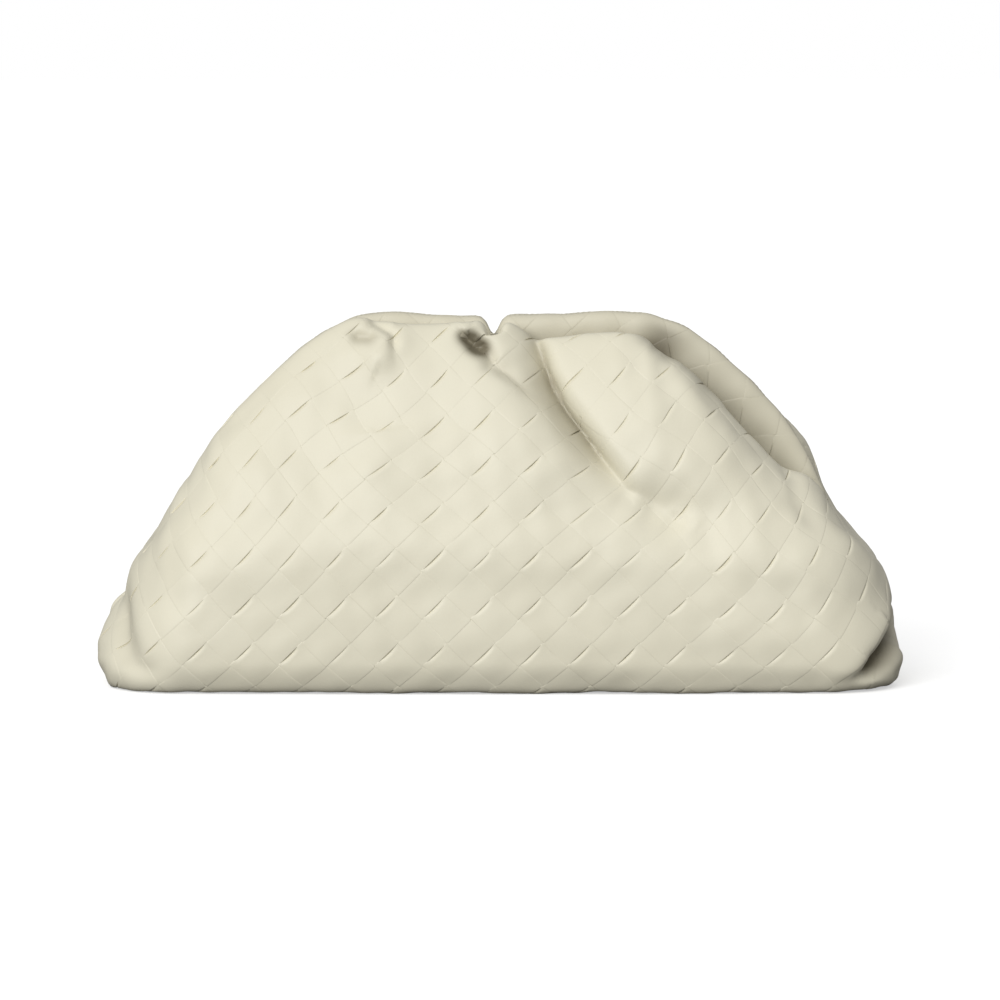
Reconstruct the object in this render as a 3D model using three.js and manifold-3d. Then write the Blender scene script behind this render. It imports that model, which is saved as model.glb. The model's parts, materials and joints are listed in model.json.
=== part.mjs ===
// A soft clutch bag of wide woven leather strips, gathered on a hinged frame whose two halves are
// wrapped in the same leather. The bag stands on its flat base with its mouth closed.
// Millimetres, +Z up, +X to the wearer's right of the front, the front faces -Y.
// The origin is the middle of the base, on the surface that the bag stands on.
import * as THREE from "three";
import Module from "manifold-3d";
import { mergeVertices } from "three/addons/utils/BufferGeometryUtils.js";

// Driving dimensions of the bag.
const bagWidth = 390; // over the two bottom corners
const bagDepth = 140; // front to back, where the bag is fattest
const bagHeight = 180.5; // from the base to the top of the lips
const wall = 2.4; // woven leather with its backing

// The frame, wrapped in leather, that closes the mouth.
const lipThickness = 7; // front to back, one half of the frame
const lipHeight = 26; // from its outer edge to its inner edge
const lipGap = 0.6; // between the two closed halves
const lipRoundness = 2.6; // exponent of the section: 2 is an ellipse, more is squarer
const mouthHalfWidth = 161; // from the middle to the outer edge at the hinge
const hingeHeight = 86; // height of the outer edge at the hinge
const lipEnd = 0.99; // where a leg of the frame ends, as a share of the way across
const seatClearance = 0.3; // between the wall's top edge and the lip that it is sewn to
const sewnInset = 23; // from the lip's outer edge in to the sewn edge of the wall
const saddle = 22; // from the hinge down to the sewn edge under it

// The pin that joins the two halves at each end of the frame.
const pinRadius = 2;
const pinClearance = 0.3;
const pinSides = 16;

// The pinch in the middle of the lips.
const pinch = { at: -3, depth: 11, halfWidth: 5.5 };

// The fold inward between front and back, along each side seam.
const gusset = { depth: 9, halfWidth: 13, low: 34, high: 70 };

// Mesh density.
const columns = 50; // across one half of the bag, from seam to seam
const lipSteps = 32;
const lipSides = 10;

// Height of the arch of the mouth, from the hinge (0) to the top (1), on the left and on the right,
// against the share of the way from the middle to the hinge.
const archTable = [
  { across: 0.0, left: 0.975, right: 0.975 },
  { across: 0.15, left: 0.975, right: 0.975 },
  { across: 0.33, left: 0.99, right: 0.995 },
  { across: 0.42, left: 0.975, right: 0.985 },
  { across: 0.5, left: 0.92, right: 0.955 },
  { across: 0.6, left: 0.81, right: 0.875 },
  { across: 0.7, left: 0.65, right: 0.73 },
  { across: 0.8, left: 0.475, right: 0.56 },
  { across: 0.9, left: 0.235, right: 0.345 },
  { across: 1.0, left: 0.0, right: 0.0 },
];

// Sections of the wall from the middle of the base, up the outside, over the top fold and down to
// the edge that is sewn to the lip. station: share of the way along the wall. left and right: how far
// it reaches, as a share of half the bag's width. deep: share of half its depth. corner: share of
// that depth which is rounded. mid and side: height in the middle, as a share of the bag's height,
// and at the seam, as a share of the hinge's height. crown: how far the middle swells, as a share of
// half the depth. sag: how much of the fold line's drop the section follows. rows: mesh rows up to
// this section.
const sections = [
  { station: 0.0, left: 0.84, right: 0.84, deep: 0.0, corner: 0.9, mid: 0.0, side: 0.0, crown: 0.0, sag: 0.0, rows: 0 },
  { station: 0.167, left: 0.92, right: 0.92, deep: 0.64, corner: 0.62, mid: 0.0, side: 0.0, crown: 0.04, sag: 0.0, rows: 1 },
  { station: 0.2, left: 0.965, right: 0.965, deep: 0.8, corner: 0.6, mid: 0.005, side: 0.01, crown: 0.05, sag: 0.0, rows: 1 },
  { station: 0.232, left: 0.975, right: 0.985, deep: 0.87, corner: 0.6, mid: 0.033, side: 0.06, crown: 0.06, sag: 0.0, rows: 1 },
  { station: 0.281, left: 0.98, right: 0.985, deep: 0.92, corner: 0.62, mid: 0.09, side: 0.15, crown: 0.07, sag: 0.0, rows: 1 },
  { station: 0.346, left: 0.965, right: 0.982, deep: 0.93, corner: 0.66, mid: 0.187, side: 0.3, crown: 0.07, sag: 0.0, rows: 2 },
  { station: 0.453, left: 0.935, right: 0.975, deep: 0.92, corner: 0.72, mid: 0.345, side: 0.5, crown: 0.07, sag: 0.05, rows: 3 },
  { station: 0.582, left: 0.917, right: 0.955, deep: 0.83, corner: 0.8, mid: 0.54, side: 0.67, crown: 0.06, sag: 0.25, rows: 3 },
  { station: 0.723, left: 0.88, right: 0.895, deep: 0.68, corner: 0.85, mid: 0.745, side: 0.78, crown: 0.05, sag: 0.55, rows: 3 },
  { station: 0.84, left: 0.86, right: 0.868, deep: 0.5, corner: 0.88, mid: 0.92, side: 0.83, crown: 0.03, sag: 0.85, rows: 4 },
  { station: 0.905, left: 0.84, right: 0.85, deep: 0.34, corner: 0.9, mid: 1.0, side: 0.85, crown: 0.01, sag: 1.0, rows: 3 },
  { station: 0.947, left: 0.785, right: 0.81, deep: 0.2, corner: 0.9, mid: 0.975, side: 0.8, crown: 0.0, sag: 0.8, rows: 1 },
];

// How far the top fold of the wall hangs below the lip's outer edge, as a share of the bag's height,
// against the share of the way across from the left hinge (-1) to the right hinge (1).
const foldLine = {
  front: [
    { across: -1.0, drop: 0.0 },
    { across: -0.92, drop: -0.035 },
    { across: -0.8, drop: -0.03 },
    { across: -0.6, drop: -0.005 },
    { across: -0.42, drop: -0.003 },
    { across: -0.33, drop: 0.018 },
    { across: -0.16, drop: 0.012 },
    { across: -0.07, drop: 0.055 },
    { across: 0.03, drop: 0.045 },
    { across: 0.1, drop: 0.065 },
    { across: 0.22, drop: 0.05 },
    { across: 0.41, drop: 0.055 },
    { across: 0.46, drop: 0.08 },
    { across: 0.56, drop: 0.11 },
    { across: 0.685, drop: 0.145 },
    { across: 0.8, drop: 0.135 },
    { across: 0.91, drop: 0.05 },
    { across: 1.0, drop: 0.0 },
  ],
  back: [
    { across: -1.0, drop: 0.0 },
    { across: -0.92, drop: -0.03 },
    { across: -0.8, drop: 0.0 },
    { across: -0.6, drop: 0.06 },
    { across: -0.3, drop: 0.05 },
    { across: 0.0, drop: 0.06 },
    { across: 0.35, drop: 0.035 },
    { across: 0.7, drop: 0.05 },
    { across: 0.88, drop: -0.02 },
    { across: 1.0, drop: 0.0 },
  ],
};

// Folds of the wall, and the swellings between them (depth below zero). path: points from the top
// down; around is the way round the wall from its middle, as a share of half the bag's width, and z a
// share of its height. depth: as a share of half the bag's depth. left and right: how wide each flank
// is, as a share of half the bag's width. start and end: how much of the depth is left at the two
// ends of the path. sharp: 2 is a soft dent, less is a crease. lean: how far the left flank is pushed
// over the fold, as a share of half the bag's width.
const folds = [
  // The deep gather right of the middle.
  {
    side: "front", depth: 0.28, left: 0.04, right: 0.08, start: 0.7, end: 0.05, sharp: 1.5, lean: 0.03,
    path: [
      { around: 0.086, z: 0.93 },
      { around: 0.136, z: 0.86 },
      { around: 0.178, z: 0.786 },
      { around: 0.224, z: 0.708 },
      { around: 0.273, z: 0.626 },
      { around: 0.303, z: 0.548 },
      { around: 0.423, z: 0.48 },
    ],
  },
  // The short crease that runs down from the pinch.
  {
    side: "front", depth: 0.1, left: 0.03, right: 0.04, start: 1.0, end: 0.1, sharp: 1.6, lean: 0.01,
    path: [
      { around: -0.041, z: 0.916 },
      { around: -0.026, z: 0.86 },
      { around: 0.016, z: 0.843 },
      { around: 0.098, z: 0.787 },
    ],
  },
  // The pocket beside the pinch.
  {
    side: "front", depth: 0.16, left: 0.035, right: 0.035, start: 1.0, end: 1.0, sharp: 2.0, lean: 0,
    path: [{ around: -0.051, z: 0.95 }, { around: -0.046, z: 0.925 }],
  },
  // The dimple at the top left and the knob of leather beside it.
  {
    side: "front", depth: 0.12, left: 0.03, right: 0.03, start: 1.0, end: 1.0, sharp: 2.0, lean: 0,
    path: [{ around: -0.345, z: 0.935 }, { around: -0.31, z: 0.932 }],
  },
  {
    side: "front", depth: -0.05, left: 0.05, right: 0.05, start: 1.0, end: 1.0, sharp: 2.0, lean: 0,
    path: [{ around: -0.27, z: 0.94 }, { around: -0.29, z: 0.89 }],
  },
  // The pocket under the right-hand fold.
  {
    side: "front", depth: 0.12, left: 0.04, right: 0.04, start: 1.0, end: 0.4, sharp: 2.0, lean: 0,
    path: [{ around: 0.4, z: 0.93 }, { around: 0.46, z: 0.87 }],
  },
  // The billow between the gather and the right-hand fold.
  {
    side: "front", depth: -0.06, left: 0.12, right: 0.14, start: 0.7, end: 0.2, sharp: 2.0, lean: 0,
    path: [{ around: 0.33, z: 0.86 }, { around: 0.45, z: 0.66 }, { around: 0.6, z: 0.5 }],
  },
  // The billow left of the gather.
  {
    side: "front", depth: -0.05, left: 0.12, right: 0.07, start: 0.5, end: 0.1, sharp: 2.0, lean: 0,
    path: [{ around: 0.03, z: 0.79 }, { around: 0.12, z: 0.65 }, { around: 0.18, z: 0.5 }],
  },
  // The wide hollow below the right-hand billow.
  {
    side: "front", depth: 0.05, left: 0.1, right: 0.1, start: 0.4, end: 0.0, sharp: 2.0, lean: 0,
    path: [{ around: 0.3, z: 0.5 }, { around: 0.45, z: 0.45 }, { around: 0.62, z: 0.43 }],
  },
  // The wide hollow at the upper left.
  {
    side: "front", depth: 0.045, left: 0.12, right: 0.1, start: 0.2, end: 0.0, sharp: 2.0, lean: 0,
    path: [{ around: -0.3, z: 0.85 }, { around: -0.42, z: 0.68 }, { around: -0.3, z: 0.58 }],
  },
  // The front's folds over the two bottom corners, and the ears of leather beyond them.
  {
    side: "front", depth: 0.15, left: 0.05, right: 0.045, start: 0.3, end: 0.6, sharp: 1.8, lean: 0,
    path: [
      { around: 1.05, z: 0.21 },
      { around: 0.98, z: 0.155 },
      { around: 0.924, z: 0.075 },
      { around: 0.905, z: 0.03 },
    ],
  },
  {
    side: "front", depth: -0.03, left: 0.07, right: 0.07, start: 0.5, end: 0.8, sharp: 2.0, lean: 0,
    path: [{ around: 1.13, z: 0.2 }, { around: 1.1, z: 0.07 }],
  },
  {
    side: "front", depth: 0.12, left: 0.045, right: 0.05, start: 0.3, end: 0.5, sharp: 1.8, lean: 0,
    path: [
      { around: -1.05, z: 0.23 },
      { around: -0.989, z: 0.18 },
      { around: -0.938, z: 0.1 },
      { around: -0.88, z: 0.04 },
    ],
  },
  {
    side: "front", depth: -0.07, left: 0.08, right: 0.08, start: 0.9, end: 0.6, sharp: 2.0, lean: 0,
    path: [{ around: -1.15, z: 0.18 }, { around: -1.12, z: 0.07 }],
  },
  // Gathers of the back.
  {
    side: "back", depth: 0.17, left: 0.06, right: 0.05, start: 0.7, end: 0.1, sharp: 1.7, lean: 0.01,
    path: [
      { around: -0.15, z: 0.93 },
      { around: -0.22, z: 0.8 },
      { around: -0.32, z: 0.64 },
      { around: -0.36, z: 0.54 },
    ],
  },
  {
    side: "back", depth: 0.14, left: 0.05, right: 0.06, start: 0.8, end: 0.1, sharp: 1.7, lean: 0,
    path: [{ around: 0.22, z: 0.93 }, { around: 0.3, z: 0.82 }, { around: 0.36, z: 0.68 }],
  },
  {
    side: "back", depth: 0.09, left: 0.04, right: 0.04, start: 0.9, end: 0.1, sharp: 1.7, lean: 0,
    path: [{ around: 0.03, z: 0.93 }, { around: 0.04, z: 0.84 }, { around: 0.02, z: 0.76 }],
  },
  {
    side: "back", depth: -0.05, left: 0.14, right: 0.14, start: 0.7, end: 0.2, sharp: 2.0, lean: 0,
    path: [{ around: 0.1, z: 0.84 }, { around: 0.14, z: 0.6 }],
  },
  // The back's folds over the two bottom corners, and their ears.
  {
    side: "back", depth: 0.14, left: 0.05, right: 0.045, start: 0.3, end: 0.6, sharp: 1.8, lean: 0,
    path: [{ around: 1.05, z: 0.22 }, { around: 0.97, z: 0.15 }, { around: 0.91, z: 0.05 }],
  },
  {
    side: "back", depth: -0.04, left: 0.08, right: 0.08, start: 0.5, end: 0.8, sharp: 2.0, lean: 0,
    path: [{ around: 1.13, z: 0.2 }, { around: 1.1, z: 0.07 }],
  },
  {
    side: "back", depth: 0.14, left: 0.045, right: 0.05, start: 0.3, end: 0.6, sharp: 1.8, lean: 0,
    path: [{ around: -1.05, z: 0.22 }, { around: -0.97, z: 0.15 }, { around: -0.91, z: 0.05 }],
  },
  {
    side: "back", depth: -0.07, left: 0.08, right: 0.08, start: 0.9, end: 0.6, sharp: 2.0, lean: 0,
    path: [{ around: -1.15, z: 0.18 }, { around: -1.12, z: 0.07 }],
  },
];

// How close together the mesh columns are, against the way from the left seam to the right one.
const columnTable = {
  front: [
    { along: -1.0, close: 1.0 },
    { along: -0.82, close: 1.4 },
    { along: -0.5, close: 0.8 },
    { along: -0.28, close: 1.4 },
    { along: -0.05, close: 2.0 },
    { along: 0.15, close: 2.2 },
    { along: 0.35, close: 1.7 },
    { along: 0.55, close: 1.0 },
    { along: 0.82, close: 1.4 },
    { along: 1.0, close: 1.0 },
  ],
  back: [
    { along: -1.0, close: 1.0 },
    { along: -0.82, close: 1.4 },
    { along: -0.55, close: 1.0 },
    { along: -0.25, close: 1.5 },
    { along: 0.25, close: 1.5 },
    { along: 0.55, close: 1.0 },
    { along: 0.82, close: 1.4 },
    { along: 1.0, close: 1.0 },
  ],
};

// Share of a fold's depth that is left at height z: the base itself stays flat.
const foldFreeHeight = 4;
const foldFullHeight = 14;

const halfWidth = bagWidth / 2;
const halfDepth = bagDepth / 2;

// A smooth curve through a table's rows that never overshoots them.
function throughRows(table, key, value, t) {
  const last = table.length - 1;
  let i = 0;
  while (i < last - 1 && t > table[i + 1][key]) i += 1;
  const slope = (j) =>
    j < 0 || j >= last ? 0 : (table[j + 1][value] - table[j][value]) / (table[j + 1][key] - table[j][key]);
  const tangent = (j) => {
    const before = j === 0 ? slope(0) : slope(j - 1);
    const after = j === last ? slope(last - 1) : slope(j);
    return before * after <= 0 ? 0 : (2 * before * after) / (before + after);
  };
  const h = table[i + 1][key] - table[i][key];
  const u = THREE.MathUtils.clamp((t - table[i][key]) / h, 0, 1);
  return (
    table[i][value] * (2 * u ** 3 - 3 * u ** 2 + 1) +
    tangent(i) * h * (u ** 3 - 2 * u ** 2 + u) +
    table[i + 1][value] * (3 * u ** 2 - 2 * u ** 3) +
    tangent(i + 1) * h * (u ** 3 - u ** 2)
  );
}

const smoothStep = (low, high, t) => THREE.MathUtils.smoothstep(t, low, high);

// Share of the arch's rise at a share of the way across.
function archRise(across) {
  return throughRows(archTable, "across", across < 0 ? "left" : "right", Math.min(Math.abs(across), 1));
}

// Front view of the mouth's arch, moved in by inset from its outer edge.
function archHeight(across, inset) {
  const low = hingeHeight - 0.55 * inset;
  const high = bagHeight - inset;
  return low + (high - low) * archRise(across);
}

// The last section is the edge that is sewn to the lip, so it takes its sizes from the lip.
const sewnDepth = lipGap / 2 + lipThickness + seatClearance;
const wallSections = [
  ...sections,
  {
    station: 1,
    left: (mouthHalfWidth - sewnInset) / halfWidth,
    right: (mouthHalfWidth - sewnInset) / halfWidth,
    deep: sewnDepth / halfDepth,
    corner: 0.5,
    mid: (bagHeight - sewnInset) / bagHeight,
    side: (hingeHeight - saddle) / hingeHeight,
    crown: 0,
    sag: 0,
    rows: 2,
  },
];

// A point of the section seen from above: flat front, round corner, then the side to the seam.
// along runs from the left seam (-1) to the right seam (1) at an even pace.
function sectionPoint(along, across, deep, corner) {
  const length = across - corner + (Math.PI / 2) * corner + deep - corner;
  const s = Math.abs(along) * length;
  const straight = across - corner;
  let x = s;
  let y = deep;
  if (s > straight) {
    const angle = Math.min((s - straight) / Math.max(corner, 1e-6), Math.PI / 2);
    x = straight + corner * Math.sin(angle);
    y = deep - corner + corner * Math.cos(angle);
    if (s > straight + (Math.PI / 2) * corner) y = Math.max(length - s, 0);
  }
  return { x: Math.sign(along) * x, y, around: Math.sign(along) * s };
}

// The wall before its folds are pressed in, and how far round it that point is.
function plainWall(along, station, side) {
  const at = (value) => throughRows(wallSections, "station", value, station);
  const across = at(along < 0 ? "left" : "right") * halfWidth;
  const deep = at("deep") * halfDepth;
  const { x, y, around } = sectionPoint(along, across, deep, at("corner") * deep);
  const share = x / across;
  const low = at("side") * hingeHeight;
  const high = at("mid") * bagHeight;
  const drop = throughRows(foldLine[side], "across", "drop", share) * bagHeight * at("sag");
  const seamFade = smoothStep(0, 0.25, y / Math.max(deep, 1e-6));
  const swell = at("crown") * halfDepth * (1 - share ** 2) * seamFade;
  const facing = side === "front" ? -1 : 1;
  const point = new THREE.Vector3(x, facing * (y + swell), low + (high - low) * archRise(share) - drop);
  return { point, around };
}

// How a fold moves a point of the wall: pressed in along the wall, and leaned sideways and down.
function foldMove(fold, around, z) {
  const points = fold.path.map((p) => new THREE.Vector2(p.around * halfWidth, p.z * bagHeight));
  const here = new THREE.Vector2(around, z);
  let nearest = { distance: Infinity };
  for (let i = 0; i < points.length - 1; i += 1) {
    const step = points[i + 1].clone().sub(points[i]);
    const to = here.clone().sub(points[i]);
    const u = THREE.MathUtils.clamp(to.dot(step) / step.lengthSq(), 0, 1);
    const distance = to.distanceTo(step.clone().multiplyScalar(u));
    if (distance < nearest.distance)
      nearest = { distance, step, isRight: step.cross(to) > 0, t: (i + u) / (points.length - 1) };
  }
  const width = (nearest.isRight ? fold.right : fold.left) * halfWidth;
  const ends =
    (fold.start + (1 - fold.start) * smoothStep(0, 0.3, nearest.t)) *
    (fold.end + (1 - fold.end) * smoothStep(0, 0.4, 1 - nearest.t));
  const near = ends * Math.exp(-((nearest.distance / width) ** fold.sharp));
  const over = new THREE.Vector2(-nearest.step.y, nearest.step.x).normalize();
  return { press: fold.depth * halfDepth * near, lean: over.multiplyScalar(fold.lean * halfWidth * near) };
}

// The wall's face at depth inset below its outer face, with the folds pressed in.
function wallPoint(along, station, side, inset) {
  const { point: here, around } = plainWall(along, station, side);
  const plain = (a, s) => plainWall(THREE.MathUtils.clamp(a, -1, 1), THREE.MathUtils.clamp(s, 0, 1), side).point;
  const step = 0.002;
  const across = plain(along + step, station).sub(plain(along - step, station));
  const up = plain(along, station + step).sub(plain(along, station - step));
  const out = across.cross(up).normalize();
  if (side === "back") out.negate();
  if (station === 0) out.set(0, 0, -1);
  if (Math.abs(along) === 1) out.setY(0).normalize();
  const foldShare =
    smoothStep(foldFreeHeight, foldFullHeight, here.z) * (1 - smoothStep(0.93, 1, station));
  const room = Math.hypot(
    Math.max(Math.abs(here.y) - sewnDepth - wall, 0.1),
    Math.max(Math.abs(here.x) - mouthHalfWidth + sewnInset / 2, 0),
  );
  const seamShare = 1 - smoothStep(0.93, 1, Math.abs(along));
  const moved = { press: 0, x: 0, z: 0 };
  for (const fold of folds) {
    if (fold.side !== side) continue;
    const { press, lean } = foldMove(fold, around, here.z);
    moved.press += press * foldShare * (fold.depth < 0 ? 1 : seamShare);
    moved.x += lean.x * foldShare;
    moved.z += lean.y * foldShare;
  }
  const middle = (gusset.low + gusset.high) / 2;
  const tuck =
    gusset.depth *
    Math.exp(-((here.y / gusset.halfWidth) ** 2)) *
    smoothStep(gusset.low, middle, here.z) *
    (1 - smoothStep(middle, gusset.high, here.z));
  here.x += moved.x - Math.sign(along) * tuck * smoothStep(0.6, 0.85, Math.abs(along));
  here.z += moved.z;
  // A fold can't be pressed in past the frame, and near the top it is pressed straight back.
  const pressed = moved.press > 0 ? room * (1 - Math.exp(-moved.press / room)) : moved.press;
  const straightBack = new THREE.Vector3(0, side === "front" ? 1 : -1, -0.3);
  const inward = out.clone().negate().lerp(straightBack, smoothStep(0.74, 0.86, station));
  return here.addScaledVector(inward, pressed).addScaledVector(out, -inset);
}

// A mesh from a list of THREE.Vector3 and a list of vertex numbers, three to a triangle.
function meshGeometry(points, triangles) {
  const geometry = new THREE.BufferGeometry();
  geometry.setAttribute("position", new THREE.Float32BufferAttribute(points.flatMap((p) => [p.x, p.y, p.z]), 3));
  geometry.setIndex(triangles);
  geometry.computeVertexNormals();
  return geometry;
}

// Places of the mesh columns between the seams, closer together where the wall has small folds.
function columnPlaces(side) {
  const fine = 400;
  const places = [-1];
  const counts = [0];
  for (let i = 1; i <= fine; i += 1) {
    const place = (2 * i) / fine - 1;
    places.push(place);
    counts.push(counts[i - 1] + throughRows(columnTable[side], "along", "close", place - 1 / fine));
  }
  const found = [];
  for (let k = 0; k <= columns; k += 1) {
    const want = (counts[fine] * k) / columns;
    let i = 0;
    while (i < fine - 1 && counts[i + 1] < want) i += 1;
    found.push(places[i] + ((places[i + 1] - places[i]) * (want - counts[i])) / (counts[i + 1] - counts[i]));
  }
  found[columns] = 1;
  return found;
}

// The woven body: one wall that runs round the bag and under it, open at the mouth.
function bodyGeometry() {
  const stations = [0];
  wallSections.forEach((section, i) => {
    const from = i === 0 ? 0 : wallSections[i - 1].station;
    for (let k = 1; k <= section.rows; k += 1)
      stations.push(from + ((section.station - from) * k) / section.rows);
  });
  const around = 2 * columns;
  const places = { front: columnPlaces("front"), back: columnPlaces("back") };
  const points = [];
  // Vertex numbers by face (outer 0, inner 1), row and place round the bag.
  const numbers = [0, wall].map((inset) =>
    stations.map((station, row) => {
      const ring = [];
      for (let i = 0; i < around; i += 1) {
        const isBack = i > columns;
        if (row === 0 && isBack) {
          ring.push(ring[around - i]); // front and back share the line along the middle of the base
          continue;
        }
        const along = isBack ? places.back[around - i] : places.front[i];
        points.push(wallPoint(along, station, isBack ? "back" : "front", inset));
        ring.push(points.length - 1);
      }
      return ring;
    }),
  );
  const triangles = [];
  const outward = (a, b, c, d) => triangles.push(a, b, c, a, c, d);
  const inward = (a, b, c, d) => triangles.push(a, c, b, a, d, c);
  const [outer, inner] = numbers;
  for (let i = 0; i < around; i += 1) {
    const next = (i + 1) % around;
    for (let row = 0; row < stations.length - 1; row += 1) {
      outward(outer[row][i], outer[row][next], outer[row + 1][next], outer[row + 1][i]);
      inward(inner[row][i], inner[row][next], inner[row + 1][next], inner[row + 1][i]);
    }
    const top = stations.length - 1;
    outward(outer[top][i], outer[top][next], inner[top][next], inner[top][i]);
  }
  return meshGeometry(points, triangles);
}

// Shares of the way across, from one end of a lip to the other, evenly spaced along its edge.
function lipStations() {
  const fine = 400;
  const shares = [];
  const lengths = [0];
  for (let i = 0; i <= fine; i += 1) {
    shares.push(lipEnd * ((2 * i) / fine - 1));
    if (i === 0) continue;
    const dx = (shares[i] - shares[i - 1]) * mouthHalfWidth;
    const dz = archHeight(shares[i], 0) - archHeight(shares[i - 1], 0);
    lengths.push(lengths[i - 1] + Math.hypot(dx, dz));
  }
  const stations = [];
  for (let k = 0; k <= lipSteps; k += 1) {
    const want = (lengths[fine] * k) / lipSteps;
    let i = 0;
    while (i < fine - 1 && lengths[i + 1] < want) i += 1;
    stations.push(shares[i] + ((shares[i + 1] - shares[i]) * (want - lengths[i])) / (lengths[i + 1] - lengths[i]));
  }
  return stations;
}

// A point of a lip: share of the way across, and angle round its section.
function lipPoint(across, angle, side) {
  const round = (v) => Math.sign(v) * Math.abs(v) ** (2 / lipRoundness);
  const inset = (lipHeight / 2) * (1 - round(Math.cos(angle)));
  const y = lipGap / 2 + (lipThickness / 2) * (1 + round(Math.sin(angle)));
  const x = across * (mouthHalfWidth - inset);
  const edge = 1 - inset / lipHeight;
  const dip = pinch.depth * Math.exp(-(Math.abs((x - pinch.at) / pinch.halfWidth) ** 1.5)) * edge;
  return new THREE.Vector3(x, side === "front" ? -y : y, archHeight(across, inset) - dip);
}

// One half of the frame in its leather, with flat ends.
function lipGeometry(side) {
  const stations = lipStations();
  const points = [];
  for (const across of stations)
    for (let k = 0; k < lipSides; k += 1) points.push(lipPoint(across, (2 * Math.PI * k) / lipSides, side));
  const triangles = [];
  const facing = side === "front" ? 1 : -1;
  const triangle = (a, b, c) => triangles.push(...(facing > 0 ? [a, b, c] : [a, c, b]));
  for (let i = 0; i < stations.length - 1; i += 1)
    for (let k = 0; k < lipSides; k += 1) {
      const a = i * lipSides + k;
      const b = i * lipSides + ((k + 1) % lipSides);
      triangle(a, b, b + lipSides);
      triangle(a, b + lipSides, a + lipSides);
    }
  const last = (stations.length - 1) * lipSides;
  for (let k = 1; k < lipSides - 1; k += 1) {
    triangle(0, k + 1, k);
    triangle(last, last + k, last + k + 1);
  }
  return meshGeometry(points, triangles);
}

// The place of a pin: low in a lip, near the end of its leg.
function pinPlace(direction) {
  const inset = lipHeight * 0.7;
  const across = lipEnd - (2.2 * (pinRadius + pinClearance)) / mouthHalfWidth;
  return new THREE.Vector3(direction * across * (mouthHalfWidth - inset), 0, archHeight(across, inset));
}

function pinGeometry(radius, length) {
  return new THREE.CylinderGeometry(radius, radius, length, pinSides);
}

const wasm = await Module();
wasm.setup();

function toSolid(geometry) {
  const bare = geometry.clone();
  bare.deleteAttribute("normal");
  bare.deleteAttribute("uv");
  const merged = mergeVertices(bare, 1e-4);
  return new wasm.Manifold(
    new wasm.Mesh({
      numProp: 3,
      vertProperties: new Float32Array(merged.attributes.position.array),
      triVerts: new Uint32Array(merged.index.array),
    }),
  );
}

function toGeometry(solid) {
  const { numProp, vertProperties, triVerts } = solid.getMesh();
  const geometry = new THREE.BufferGeometry();
  const positions = [];
  for (let i = 0; i < vertProperties.length; i += numProp)
    positions.push(vertProperties[i], vertProperties[i + 1], vertProperties[i + 2]);
  geometry.setAttribute("position", new THREE.Float32BufferAttribute(positions, 3));
  geometry.setIndex([...triVerts]);
  geometry.computeVertexNormals();
  return geometry;
}

// A lip with a hole at each end for the pin.
function drilledLip(side) {
  let lip = toSolid(lipGeometry(side));
  for (const direction of [-1, 1]) {
    const place = pinPlace(direction);
    const drill = pinGeometry(pinRadius + pinClearance, 4 * lipThickness).translate(place.x, place.y, place.z);
    lip = lip.subtract(toSolid(drill));
  }
  return toGeometry(lip);
}

const leather = new THREE.MeshStandardMaterial({ color: 0xe2ddc9, roughness: 0.55, metalness: 0 });
const steel = new THREE.MeshStandardMaterial({ color: 0xb9b6ae, roughness: 0.35, metalness: 1 });

function named(name, geometry, material) {
  const mesh = new THREE.Mesh(geometry, material);
  mesh.name = name;
  return mesh;
}

const bag = new THREE.Group();
bag.add(named("woven_body", bodyGeometry(), leather));
bag.add(named("front_lip", drilledLip("front"), leather));
bag.add(named("rear_lip", drilledLip("back"), leather));
for (const [name, direction] of [["left_hinge_pin", -1], ["right_hinge_pin", 1]]) {
  const pin = named(name, pinGeometry(pinRadius, lipGap + 2 * lipThickness), steel);
  pin.position.copy(pinPlace(direction));
  bag.add(pin);
}

export default bag;
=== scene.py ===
# %% [markdown]
# # A woven leather pouch bag
# The bag is a soft pouch that is gathered onto an arched frame. Its wall is woven from wide, flat
# strips of off-white leather, at 45 degrees to the base, and the same weave wraps the two halves of
# the frame. The solids of the part fix its size and its place. This script gives them their looks:
# the strips, the folds of the leather, its colour and its grain.

# %% Load the part
import json
import math

import bpy
import numpy as np
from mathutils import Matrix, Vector

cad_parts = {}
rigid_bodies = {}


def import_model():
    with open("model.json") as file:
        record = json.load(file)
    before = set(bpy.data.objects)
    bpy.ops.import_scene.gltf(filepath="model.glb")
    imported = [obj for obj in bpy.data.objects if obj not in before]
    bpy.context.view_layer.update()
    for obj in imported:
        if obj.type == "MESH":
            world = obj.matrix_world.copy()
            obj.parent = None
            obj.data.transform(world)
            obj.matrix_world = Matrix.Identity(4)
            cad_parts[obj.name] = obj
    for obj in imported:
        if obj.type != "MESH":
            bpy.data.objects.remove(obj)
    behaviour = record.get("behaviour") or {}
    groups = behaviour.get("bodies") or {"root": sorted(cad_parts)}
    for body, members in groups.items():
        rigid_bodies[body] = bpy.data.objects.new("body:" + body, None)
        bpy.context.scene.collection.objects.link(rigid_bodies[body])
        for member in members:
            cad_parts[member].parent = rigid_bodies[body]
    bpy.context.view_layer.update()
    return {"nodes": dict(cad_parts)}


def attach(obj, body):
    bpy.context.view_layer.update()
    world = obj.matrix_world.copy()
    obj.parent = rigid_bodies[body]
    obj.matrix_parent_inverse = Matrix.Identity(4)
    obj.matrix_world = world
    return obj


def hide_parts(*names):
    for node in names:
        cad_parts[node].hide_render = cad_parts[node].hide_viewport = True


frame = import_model()

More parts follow.
